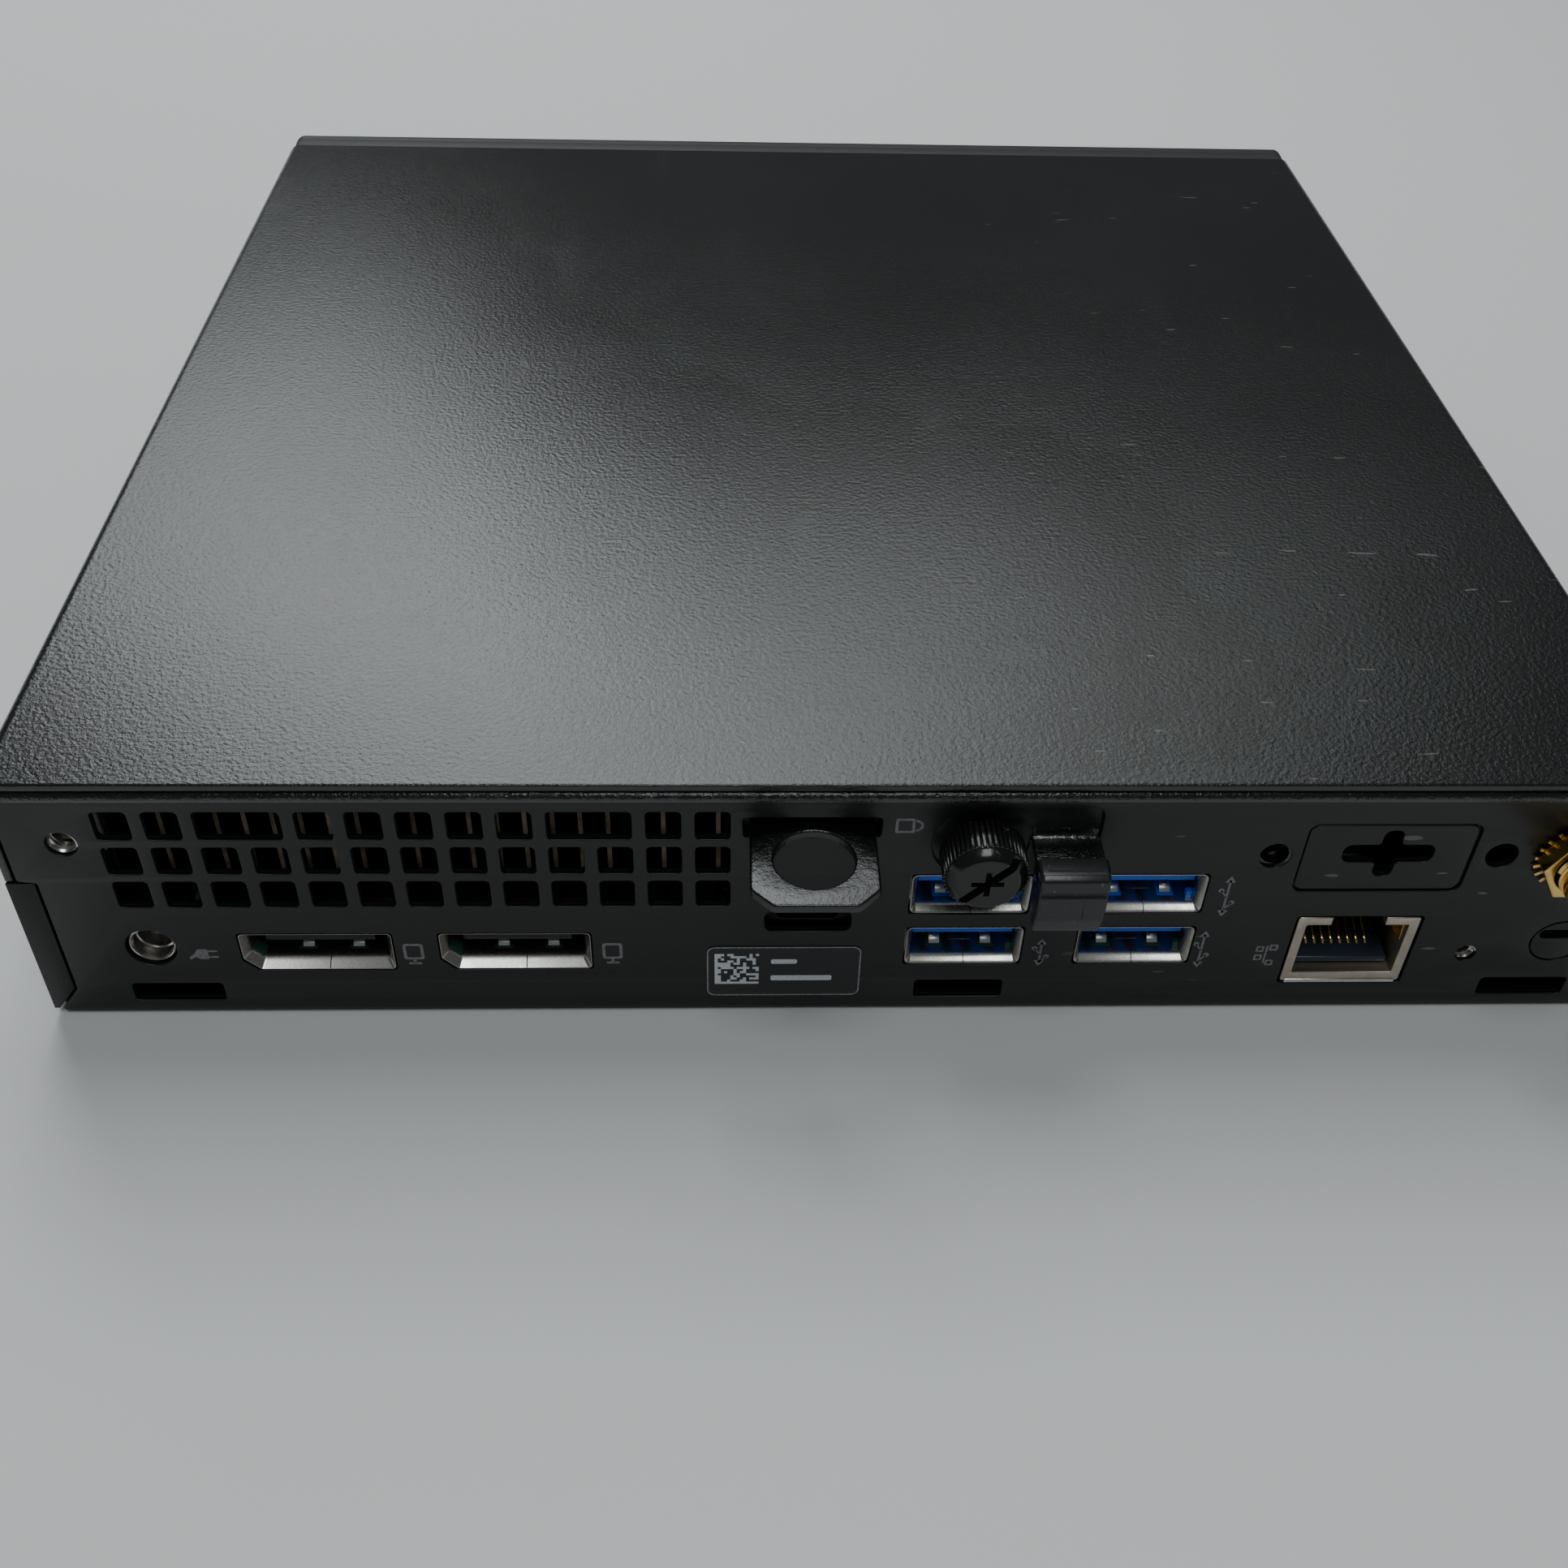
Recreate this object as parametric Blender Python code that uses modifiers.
"""Mini pc: a flat desktop computer in a folded steel case, lying on its feet.

+Z is up, the front bezel faces -Y and the connector panel faces +Y. The origin is under the middle of the
whole object, lock tongue included, on the surface that it stands on. Every length is in metres.
"""

import math

import bmesh
import bpy
from mathutils import Matrix, Vector

MM = 0.001

# ---- Case ----
WIDTH = 182 * MM
DEPTH = 178 * MM                # bezel face to connector panel
HEIGHT = 36 * MM                # feet to cover
SHEET = 1.0 * MM                # steel of the pan, the panel and the cover
GAP = 0.3 * MM                  # between pieces that touch or nearly touch
FOOT_HEIGHT = 0.8 * MM
FOOT_INSET = 16 * MM            # foot centre to the case's sides
FOOT_RADIUS = 7 * MM
BEZEL_DEPTH = 5 * MM
BEZEL_DROP = 0.1 * MM           # the bezel's top is all but flush with the cover's top
BEZEL_WALL = 2 * MM
COVER_RADIUS = 1.6 * MM
COVER_FLANGE = 14.1 * MM        # height of the cover's side flanges
RETURN_FLANGE = 3.1 * MM        # the pan's side walls turned in beside the connector panel
RETURN_CORNER = (2.7 * MM, 3.7 * MM)  # the flanges' cut lower corners, which the panel fills
PANEL_TOP_RADIUS = 1.1 * MM
PANEL_LIP = 1.3 * MM

# ---- Connector panel: heights are above the case's underside ----
VENT_LEFT = 13.3 * MM           # first column of the vent, from the left edge
VENT_PITCH = 5.28 * MM
VENT_CELL = 3.8 * MM
VENT_ROW_PITCH = 5.13 * MM
VENT_ROW_HEIGHT = 4.0 * MM
VENT_TOP_ROW = 29.3 * MM
VENT_COLUMNS = 13
VENT_WIDE = (2, 9)              # top-row cells that take in the next one
MARK_HOLE_LEFT = 7.5 * MM
MARK_HOLE_HEIGHT = 26.7 * MM
MARK_HOLE_RADIUS = 1.7 * MM
JACK_LEFT = 13.3 * MM
JACK_HEIGHT = 10.5 * MM
JACK_RADIUS = 2.75 * MM
JACK_BLOCK = 8.4 * MM
JACK_DEPTH = 14 * MM
DISPLAY_LEFT = (31.8 * MM, 54.2 * MM)
DISPLAY_HEIGHT = 9.75 * MM
DISPLAY_SIZE = (16.8 * MM, 5.5 * MM)
DISPLAY_CHAMFER = 1.7 * MM
FOOT_SLOT = (10.4 * MM, 2.9 * MM)
FOOT_SLOT_HEIGHT = 3.1 * MM
LOCK_OFFSET = 3.65 * MM         # tongue and lock slot, to the left of the case's middle
TONGUE_TOP = 29.1 * MM
TONGUE_SHEET = 1.2 * MM
TONGUE_WIDTH = 13.6 * MM
TONGUE_REACH = 11.6 * MM
TONGUE_HOLE_RADIUS = 4.3 * MM
TONGUE_HOLE_OUT = 4.8 * MM
TONGUE_CORNER = 2.2 * MM
TONGUE_SLOT = (14.9 * MM, 2.9 * MM)
LOCK_SLOT = (9.8 * MM, 3.2 * MM)
LOCK_SLOT_HEIGHT = 14.5 * MM
SCREW_OFFSET = -14.7 * MM       # thumbscrew, to the right of the case's middle
SCREW_HEIGHT = 26.7 * MM
KNOB_RADIUS = 4.65 * MM
KNOB_FACE_RADIUS = 3.4 * MM
KNOB_REACH = 6.3 * MM
SCREW_RADIUS = 1.6 * MM
SCREW_TIP = 3.3 * MM            # inside the panel's outer face
SCREW_CLEARANCE = 0.25 * MM
RECESS_DEPTH = 0.5 * MM
KNOB_ROOM = 0.65 * MM           # around the knob: to the recess's edge
ARM_ROOM = 0.9 * MM             # from the knob to the arm
RECESS_HEIGHTS = (27.0 * MM, 31.9 * MM)
ARM_WIDTH = 7.5 * MM
ARM_TOP = 27.35 * MM
ARM_REACH = 5.0 * MM
HOOK_REACH = 7.0 * MM
HOOK_DROP = 8.2 * MM
USB_OFFSETS = (-14.4 * MM, -34.1 * MM)
USB_HEIGHTS = (10.4 * MM, 18.8 * MM)
USB_SHELL = (13.1 * MM, 5.7 * MM)
SHELL_WALL = 0.3 * MM
USB_DEPTH = 17 * MM
NET_RIGHT = 31.4 * MM           # from the right edge
NET_HEIGHT = 9.45 * MM
NET_SHELL = (14.2 * MM, 10.7 * MM)
NET_DEPTH = 16 * MM
OPTION_RIGHT = 31.0 * MM        # middle of the option plate's cross slot
OPTION_HEIGHT = 25.0 * MM
OPTION_SLOTS = ((10.2 * MM, 2.7 * MM), (2.3 * MM, 6.9 * MM))
OPTION_HOLES_RIGHT = (43.5 * MM, 18.2 * MM)
OPTION_HOLE_RADIUS = 1.8 * MM
SMALL_HOLE_RIGHT = 17.5 * MM
SMALL_HOLE_HEIGHT = 8.8 * MM
SMALL_HOLE_RADIUS = 1.25 * MM
ANTENNA_RIGHT = 9.9 * MM
ANTENNA_HEIGHT = 24.75 * MM
ANTENNA_RADIUS = 3.1 * MM
ANTENNA_REACH = 8.5 * MM
ANTENNA_NUT = (4.6 * MM, 2.4 * MM)
ANTENNA_COLLAR = (1.4 * MM, 1.2 * MM)
ANTENNA_BORE = (2.3 * MM, 0.5 * MM)
ANTENNA_INSIDE = 5 * MM         # its shank behind the panel's outer face
ANTENNA_2_RIGHT = 7.4 * MM
ANTENNA_2_HEIGHT = 12.0 * MM
ANTENNA_2_SLOT = (4.6 * MM, 1.3 * MM)
LABEL_OFFSET = 6.2 * MM
LABEL_HEIGHT = 6.3 * MM
LABEL_SIZE = (17.9 * MM, 8.4 * MM)
PORT_CLEARANCE = 0.3 * MM       # panel cut-outs around the connector shells
FACE_INSET = 0.05 * MM          # the shells' faces behind the panel's outer face

# ---- Inside ----
BOARD_SHEET = 1.6 * MM
STANDOFF = 3.2 * MM
STANDOFF_RADIUS = 2.6 * MM
BOARD_SCREW_RADIUS = 1.2 * MM
BOARD_SCREW_HEAD = (2.6 * MM, 1.6 * MM)
BOARD_MARGIN = 5 * MM
BOARD_FRONT = 12 * MM           # bezel face to the board's front edge
BLOWER_SIZE = (66 * MM, 68 * MM)
BLOWER_WALL = 1.2 * MM
BLOWER_REAR = 24 * MM
ROTOR_RADIUS = 27 * MM
ROTOR_BLADES = 18
SPINDLE_RADIUS = 2 * MM
SPINDLE_CLEARANCE = 0.09 * MM
FIN_COUNT = 23
FIN_THICKNESS = 0.5 * MM
DRIVE_SIZE = (69.85 * MM, 100 * MM, 7 * MM)
DRIVE_REAR = 47 * MM            # connector panel to the drive's connector end
DRIVE_LEVEL = 22 * MM
COIN_RADIUS = 10 * MM
COIN_HEIGHT = 3.2 * MM

# ---- Front ----
BUTTON_LEFT = 18 * MM           # all from the left edge, as seen from behind
BUTTON_RADIUS = 5.5 * MM
BUTTON_HEIGHT = 21.5 * MM
BUTTON_CLEARANCE = 0.3 * MM
BUTTON_TRAVEL = 0.8 * MM
LIGHT_LEFT = 31 * MM
AUDIO_LEFT = 40 * MM
AUDIO_RADIUS = 1.8 * MM
FRONT_PORT_HEIGHT = 10.4 * MM
USB_C_LEFT = 56 * MM
USB_C_SHELL = (9.0 * MM, 3.3 * MM)
USB_C_TONGUE = (6.6 * MM, 0.7 * MM)
USB_A_LEFT = 76 * MM
FRONT_VENT_FIRST = 96 * MM
FRONT_VENT_PITCH = 4.6 * MM
FRONT_VENT_COUNT = 16
FRONT_VENT_SLOT = (2.0 * MM, 20 * MM)

# ---- Worked out ----
RECESS_RADIUS = KNOB_RADIUS + KNOB_ROOM
ARM_OFFSET = SCREW_OFFSET - KNOB_RADIUS - ARM_ROOM - ARM_WIDTH / 2
RECESS_RIGHT = ARM_OFFSET - ARM_WIDTH / 2 + GAP / 2
BOTTOM = FOOT_HEIGHT
TOP = HEIGHT
REAR = (DEPTH - TONGUE_REACH) / 2
FRONT = REAR - DEPTH
COVER_UNDER = TOP - SHEET
COVER_EDGE = TOP - COVER_FLANGE                 # lower edge of the cover's side flanges
PANEL_TOP = COVER_UNDER - GAP
COVER_FRONT = FRONT + BEZEL_DEPTH
PAN_FRONT = COVER_FRONT + GAP
FLOOR = BOTTOM + SHEET
BOARD_UNDER = FLOOR + STANDOFF + GAP
BOARD_TOP = BOARD_UNDER + BOARD_SHEET
ON_BOARD = BOARD_TOP + GAP
INSET_WALL = SHEET + GAP                        # the pan's upper side walls, inside the cover's flanges

# ---- Small features ----
EASE = 0.1 * MM                 # a piece that is joined inside another stops this short of its faces
FLANGE_LIFT = 0.4 * MM          # the pan's rear flanges start above its floor
FLANGE_CUT = (0.6 * MM, 0.7 * MM)
WALL_EASE = 0.5 * MM            # the pan's front wall stops short of its side walls
PUNCH_RADIUS = 0.4 * MM         # corners of most punched openings
STRIP_RADIUS = 1.2 * MM         # corners of the recess above the arm
RECESS_CORNER = 0.8 * MM
VENT_RADIUS = 0.5 * MM
SHELL_RADIUS = 0.5 * MM         # corners of a data port's shell
HOLLOW_RADIUS = 0.3 * MM
SCREEN_HOLE_DROP = 0.3 * MM     # the option plate's holes are a little below its slot
SCREW_COLUMNS = (85 * MM, 3.8 * MM)  # from the board's left edge and from its right edge
SCREW_ROWS = (27 * MM, 26 * MM)      # from the connector panel and from the board's front edge
FOOT_SLOTS = (14.9 * MM, -14.4 * MM, 9.1 * MM)  # from the left edge, from the middle, from the right edge
LOCK_PLATE_HALF = 8.2 * MM
LOCK_PLATE_SLOT = (7 * MM, 2.2 * MM)
NUT_PLATE_ROOM = (5.3 * MM, 3.2 * MM)  # past the screw's axis, sideways and down
BRACKET_FOOT = 8 * MM
LIGHT_HOLE = 2.6 * MM
AUDIO_WALL = 1.6 * MM
BEZEL_RADIUS = 2 * MM
BEZEL_RIM = 1.6 * MM
BUTTON_FLANGE = (1.1 * MM, 0.9 * MM)
PLUNGER_RADIUS = 1.6 * MM
PLUNGER_REACH = 1.5 * MM        # inside the pan's front wall
SWITCH_SIZE = (6 * MM, 3.5 * MM)
HOOK_WALL = 0.75 * MM           # over the arm
HOOK_CLEARANCE = 0.2 * MM
WASHER = (3.4 * MM, 0.4 * MM)
KNOB_CHAMFER = 1.1 * MM
DRIVER_SLOT = (1.1 * MM, 1.0 * MM)
EDGE_CHAMFER = 0.3 * MM
LABEL_THICKNESS = 0.1 * MM
LABEL_GAP = 0.02 * MM
FIN_STACK_LEFT = (77.5 * MM, 10.5 * MM)
FIN_STACK_INSIDE = (21 * MM, 4 * MM)
FIN_BASE = 1.4 * MM
COVER_ROOM = 2.2 * MM           # free height under the cover
CHIP_HALF = 18.75 * MM
CHIP_HEIGHT = 2 * MM
COLD_PLATE = (44 * MM, 40 * MM, 1.6 * MM)
PIPE_RADIUS = 1.1 * MM
PIPE_BEND = 7 * MM
SPEAKER_NOTCH = (29 * MM, 16 * MM)
SPEAKER_SIZE = (27 * MM, 14 * MM)
MEMORY_WIDTH = 71 * MM
MEMORY_RIGHT = 16 * MM
MEMORY_INSIDE = 62 * MM
MEMORY_LEVELS = (("lower", 1.6 * MM), ("upper", 5.4 * MM))
CARD_SHEET = 1.2 * MM
CADDY_WALL = 1.2 * MM
CADDY_FRONT = 3 * MM
CADDY_FRAME = 12 * MM
DRIVE_RIGHT = 17 * MM
RISER_HALF = 17 * MM
LEAD_RADIUS = 0.6 * MM
FRONT_PORT_FACE = 1.2 * MM      # behind the bezel's face

PARTS = None
CUTTERS = None


# ---- Places ----

def left(distance):
    """X of a place that far from the left edge, seen from behind."""
    return WIDTH / 2 - distance


def right(distance):
    """X of a place that far from the right edge, seen from behind."""
    return distance - WIDTH / 2


def inside(distance):
    """Y of a place that far in from the connector panel's outer face."""
    return REAR - distance


def above(height):
    """Z of a height above the case's underside."""
    return BOTTOM + height


# ---- Materials ----

def material(name, colour, roughness, metallic=0.0):
    made = bpy.data.materials.get(name)
    if made:
        return made
    made = bpy.data.materials.new(name)
    made.use_nodes = True
    shader = made.node_tree.nodes["Principled BSDF"]
    shader.inputs["Base Color"].default_value = (*colour, 1)
    shader.inputs["Roughness"].default_value = roughness
    shader.inputs["Metallic"].default_value = metallic
    made.diffuse_color = (*colour, 1)
    return made


def painted_steel():
    return material("painted_steel", (0.012, 0.013, 0.014), 0.42)


def bare_steel():
    return material("bare_steel", (0.55, 0.54, 0.52), 0.28, 1.0)


def black_plastic():
    return material("black_plastic", (0.015, 0.015, 0.016), 0.5)


def blue_plastic():
    return material("blue_plastic", (0.01, 0.15, 0.75), 0.4)


def gold_plate():
    return material("gold_plate", (0.85, 0.58, 0.2), 0.22, 1.0)


def circuit_board():
    return material("circuit_board", (0.01, 0.09, 0.05), 0.45)


def aluminium():
    return material("aluminium", (0.72, 0.72, 0.73), 0.35, 1.0)


def copper():
    return material("copper", (0.75, 0.38, 0.22), 0.3, 1.0)


def foot_rubber():
    return material("foot_rubber", (0.02, 0.02, 0.02), 0.85)


def label_film():
    return material("label_film", (0.02, 0.02, 0.022), 0.35)


# ---- Shapes ----

def collection(name):
    made = bpy.data.collections.new(name)
    bpy.context.scene.collection.children.link(made)
    return made


def place(name, mesh, finish, matrix=None):
    """A new object of this mesh: a part when it has a finish, or else a cutter."""
    made = bpy.data.objects.new(name, mesh)
    if finish:
        PARTS.objects.link(made)
        mesh.materials.clear()
        mesh.materials.append(finish)
    else:
        CUTTERS.objects.link(made)
        made.hide_render = True
        made.display_type = "WIRE"
    if matrix:
        made.matrix_world = matrix
    return made


def box(name, low, high, finish=None):
    """A box between two opposite corners."""
    low = Vector(low)
    high = Vector(high)
    mesh = bpy.data.meshes.new(name)
    shape = bmesh.new()
    bmesh.ops.create_cube(shape, size=1)
    bmesh.ops.scale(shape, vec=high - low, verts=shape.verts)
    shape.to_mesh(mesh)
    shape.free()
    return place(name, mesh, finish, Matrix.Translation((low + high) / 2))


def turned_to(axis):
    """The rotation that points +Z along an axis: X, Y (towards the rear) or Z."""
    turns = {
        "X": Matrix.Rotation(math.pi / 2, 4, "Y"),
        "Y": Matrix.Rotation(-math.pi / 2, 4, "X"),
        "Z": Matrix.Identity(4),
    }
    return turns[axis]


def cone(name, radii, length, middle, axis, finish=None, sides=32):
    """A round piece between two radii, with its middle at a place and its length along an axis."""
    mesh = bpy.data.meshes.new(name)
    shape = bmesh.new()
    bmesh.ops.create_cone(shape, cap_ends=True, segments=sides, radius1=radii[0], radius2=radii[1],
                          depth=length)
    shape.to_mesh(mesh)
    shape.free()
    mesh.shade_smooth()
    mesh.set_sharp_from_angle(angle=math.radians(35))
    return place(name, mesh, finish, Matrix.Translation(middle) @ turned_to(axis))


def cylinder(name, radius, length, middle, axis, finish=None, sides=32):
    return cone(name, (radius, radius), length, middle, axis, finish, sides)


def arc(centre, radius, start, end, steps):
    """Points on an arc, angles in degrees."""
    points = []
    for step in range(steps + 1):
        angle = math.radians(start + (end - start) * step / steps)
        points.append((centre[0] + radius * math.cos(angle), centre[1] + radius * math.sin(angle)))
    return points


def rounded_box_outline(middle, size, radius, steps=3):
    """A rectangle with round corners."""
    half_x = size[0] / 2 - radius
    half_y = size[1] / 2 - radius
    points = []
    for turn, (side_x, side_y) in enumerate(((1, 1), (-1, 1), (-1, -1), (1, -1))):
        corner = (middle[0] + side_x * half_x, middle[1] + side_y * half_y)
        points += arc(corner, radius, turn * 90, turn * 90 + 90, steps)
    return points


def circle_outline(middle, radius, sides=24):
    return arc(middle, radius, 0, 360, sides)[:-1]


YZX_TURN = ((0, 0, 1, 0), (1, 0, 0, 0), (0, 1, 0, 0), (0, 0, 0, 1))  # a flat outline's X, Y and Z to Y, Z and X


def prism(name, outlines, axis, start, end, finish=None):
    """Flat outlines extruded along an axis from start to end; the outlines inside the first are holes.

    An outline's points are (X, Z) for a prism along Y, (Y, Z) along X and (X, Y) along Z.
    """
    curve = bpy.data.curves.new(name, "CURVE")
    curve.dimensions = "2D"
    curve.fill_mode = "BOTH"
    curve.extrude = abs(end - start) / 2
    for outline in outlines:
        spline = curve.splines.new("POLY")
        spline.points.add(len(outline) - 1)
        for point, (first, second) in zip(spline.points, outline):
            point.co = (first, second, 0, 1)
        spline.use_cyclic_u = True
    flat = bpy.data.objects.new(name + "_outline", curve)
    bpy.context.scene.collection.objects.link(flat)
    graph = bpy.context.evaluated_depsgraph_get()
    mesh = bpy.data.meshes.new_from_object(flat.evaluated_get(graph))
    bpy.data.objects.remove(flat)
    bpy.data.curves.remove(curve)
    mesh.name = name
    shape = bmesh.new()
    shape.from_mesh(mesh)
    bmesh.ops.remove_doubles(shape, verts=shape.verts, dist=1e-6)
    bmesh.ops.recalc_face_normals(shape, faces=shape.faces)
    shape.to_mesh(mesh)
    shape.free()
    middle = (start + end) / 2
    frames = {
        "Z": Matrix.Translation((0, 0, middle)),
        "Y": Matrix.Translation((0, middle, 0)) @ Matrix.Rotation(math.pi / 2, 4, "X"),
        "X": Matrix.Translation((middle, 0, 0)) @ Matrix(YZX_TURN),
    }
    return place(name, mesh, finish, frames[axis])


def boolean(target, others, operation, solver):
    for other in others:
        step = target.modifiers.new(other.name, "BOOLEAN")
        step.operation = operation
        step.solver = solver
        step.object = other
    return target


def cut(target, *cutters, solver="EXACT"):
    return boolean(target, cutters, "DIFFERENCE", solver)


def join(target, *others, solver="EXACT"):
    return boolean(target, others, "UNION", solver)


def tube(name, route, radius, finish):
    """A round rod or lead along a route of points, with closed ends."""
    curve = bpy.data.curves.new(name, "CURVE")
    curve.dimensions = "3D"
    curve.bevel_depth = radius
    curve.bevel_resolution = 2
    curve.use_fill_caps = True
    spline = curve.splines.new("POLY")
    spline.points.add(len(route) - 1)
    for point, place_of in zip(spline.points, route):
        point.co = (*place_of, 1)
    curve.materials.append(finish)
    made = bpy.data.objects.new(name, curve)
    PARTS.objects.link(made)
    return made


def smooth_route(knots, steps):
    """A Catmull-Rom curve through the knots, as points."""
    knots = [Vector(knot) for knot in knots]
    padded = [2 * knots[0] - knots[1]] + knots + [2 * knots[-1] - knots[-2]]
    points = []
    for index in range(1, len(padded) - 2):
        before, here, there, after = padded[index - 1:index + 3]
        for step in range(steps):
            t = step / steps
            points.append(0.5 * (
                2 * here + (there - before) * t
                + (2 * before - 5 * here + 4 * there - after) * t ** 2
                + (3 * here - before - 3 * there + after) * t ** 3
            ))
    points.append(knots[-1])
    return points


# ---- Case ----

def base_pan():
    """The folded pan: floor, side walls that step in under the cover, front wall and standoffs."""
    half = WIDTH / 2
    low_top = COVER_EDGE - GAP
    inner = half - INSET_WALL
    outline = [
        (-half, BOTTOM), (half, BOTTOM), (half, low_top), (inner, low_top), (inner, PANEL_TOP),
        (inner - SHEET, PANEL_TOP), (inner - SHEET, low_top - SHEET), (half - SHEET, low_top - SHEET),
        (half - SHEET, FLOOR), (SHEET - half, FLOOR), (SHEET - half, low_top - SHEET),
        (SHEET - inner, low_top - SHEET), (SHEET - inner, PANEL_TOP), (-inner, PANEL_TOP),
        (-inner, low_top), (-half, low_top),
    ]
    rear_edge = inside(SHEET + GAP)
    flange_low = BOTTOM + FLANGE_LIFT
    cut_x, cut_z = FLANGE_CUT
    pan = prism("base_pan", [outline], "Y", PAN_FRONT, rear_edge, painted_steel())
    extra = []
    for side in (-1, 1):
        outer = side * half
        turned = side * (half - RETURN_FLANGE)
        flange = [
            (outer, flange_low), (outer, low_top), (turned, low_top),
            (turned, BOTTOM + RETURN_FLANGE + cut_z), (side * (half - cut_x), flange_low),
        ]
        extra.append(prism(f"return_flange_{side}", [flange], "Y", rear_edge - SHEET, REAR))
    wall_top = COVER_UNDER - GAP
    extra.append(box("front_wall", (WALL_EASE - half + SHEET, PAN_FRONT, BOTTOM + 2 * EASE),
                     (half - SHEET - WALL_EASE, PAN_FRONT + SHEET, low_top - SHEET / 2)))
    extra.append(box("front_wall_upper", (WALL_EASE - inner, PAN_FRONT, low_top - SHEET),
                     (inner - WALL_EASE, PAN_FRONT + SHEET, wall_top)))
    for index, (x, y) in enumerate(board_screw_places()):
        extra.append(cylinder(f"standoff_{index}", STANDOFF_RADIUS, STANDOFF + SHEET / 2,
                              (x, y, FLOOR + STANDOFF / 2 - SHEET / 4), "Z", sides=20))
    join(pan, *extra)
    cutters = []
    for index, (x, y) in enumerate(board_screw_places()):
        cutters.append(cylinder(f"standoff_bore_{index}", BOARD_SCREW_RADIUS + GAP, STANDOFF,
                                (x, y, FLOOR + STANDOFF), "Z", sides=16))
    for name, middle, size in front_ports():
        cutters.append(prism(f"wall_{name}", [port_outline(name, middle, size)], "Y", PAN_FRONT - SHEET,
                             PAN_FRONT + 2 * SHEET))
    cutters.append(box("wall_vent",
                       (left(FRONT_VENT_FIRST + FRONT_VENT_PITCH * FRONT_VENT_COUNT), PAN_FRONT - SHEET,
                                     front_vent_height() - FRONT_VENT_SLOT[1] / 2),
                       (left(FRONT_VENT_FIRST - FRONT_VENT_PITCH), PAN_FRONT + 2 * SHEET,
                        front_vent_height() + FRONT_VENT_SLOT[1] / 2)))
    return cut(pan, *cutters)


def board_screw_places():
    """(X, Y) of the four screws that hold the board."""
    places = []
    for x in (left(BOARD_MARGIN + SCREW_COLUMNS[0]), right(BOARD_MARGIN + SCREW_COLUMNS[1])):
        for y in (inside(SCREW_ROWS[0]), FRONT + BOARD_FRONT + SCREW_ROWS[1]):
            places.append((x, y))
    return places


def vent_cells():
    """(middle, size) of every cell of the rear vent: the top row has two cells of double width."""
    cells = []
    for row in range(3):
        column = 0
        while column < VENT_COLUMNS:
            wide = row == 0 and column in VENT_WIDE
            width = VENT_CELL + (VENT_PITCH if wide else 0)
            x = left(VENT_LEFT + VENT_PITCH * (column + (0.5 if wide else 0)))
            cells.append(((x, above(VENT_TOP_ROW - row * VENT_ROW_PITCH)), (width, VENT_ROW_HEIGHT)))
            column += 2 if wide else 1
    return cells


def widened(size, clearance):
    return (size[0] + 2 * clearance, size[1] + 2 * clearance)


def display_outline(middle, size, chamfer):
    """A rectangle with one lower corner cut off: the lower left one, seen from behind."""
    half_x = size[0] / 2
    half_z = size[1] / 2
    x, z = middle
    return [
        (x - half_x, z - half_z), (x + half_x - chamfer, z - half_z), (x + half_x, z - half_z + chamfer),
        (x + half_x, z + half_z), (x - half_x, z + half_z),
    ]


def panel_holes():
    """Outlines of every opening of the connector panel."""
    holes = [rounded_box_outline(middle, size, VENT_RADIUS, 1) for middle, size in vent_cells()]
    holes.append(circle_outline((left(MARK_HOLE_LEFT), above(MARK_HOLE_HEIGHT)), MARK_HOLE_RADIUS, 20))
    holes.append(circle_outline((left(JACK_LEFT), above(JACK_HEIGHT)), JACK_RADIUS + EASE))
    for distance in DISPLAY_LEFT:
        holes.append(display_outline((left(distance), above(DISPLAY_HEIGHT)),
                                     widened(DISPLAY_SIZE, PORT_CLEARANCE), DISPLAY_CHAMFER))
    for x in foot_slot_places():
        holes.append(rounded_box_outline((x, above(FOOT_SLOT_HEIGHT)), FOOT_SLOT, PUNCH_RADIUS, 2))
    slot_middle = above(TONGUE_TOP - TONGUE_SHEET - GAP + TONGUE_SLOT[1] / 2)
    holes.append(rounded_box_outline((LOCK_OFFSET, slot_middle), TONGUE_SLOT, PUNCH_RADIUS, 2))
    holes.append(rounded_box_outline((LOCK_OFFSET, above(LOCK_SLOT_HEIGHT)), LOCK_SLOT, MM))
    holes.append(circle_outline((SCREW_OFFSET, above(SCREW_HEIGHT)), SCREW_RADIUS + SCREW_CLEARANCE))
    for x in USB_OFFSETS:
        for height in USB_HEIGHTS:
            size = widened(USB_SHELL, PORT_CLEARANCE)
            holes.append(rounded_box_outline((x, above(height)), size, PUNCH_RADIUS, 2))
    net = widened(NET_SHELL, PORT_CLEARANCE)
    holes.append(rounded_box_outline((right(NET_RIGHT), above(NET_HEIGHT)), net, PUNCH_RADIUS, 2))
    for distance in OPTION_HOLES_RIGHT:
        holes.append(circle_outline((right(distance), above(OPTION_HEIGHT - SCREEN_HOLE_DROP)),
                                    OPTION_HOLE_RADIUS, 20))
    holes.append(circle_outline((right(SMALL_HOLE_RIGHT), above(SMALL_HOLE_HEIGHT)), SMALL_HOLE_RADIUS, 16))
    holes.append(circle_outline((right(ANTENNA_RIGHT), above(ANTENNA_HEIGHT)), ANTENNA_RADIUS + GAP))
    holes.append(rounded_box_outline((right(ANTENNA_2_RIGHT), above(ANTENNA_2_HEIGHT)), ANTENNA_2_SLOT,
                                     0.6 * MM))
    holes.append(cross_outline())
    return holes


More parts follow.
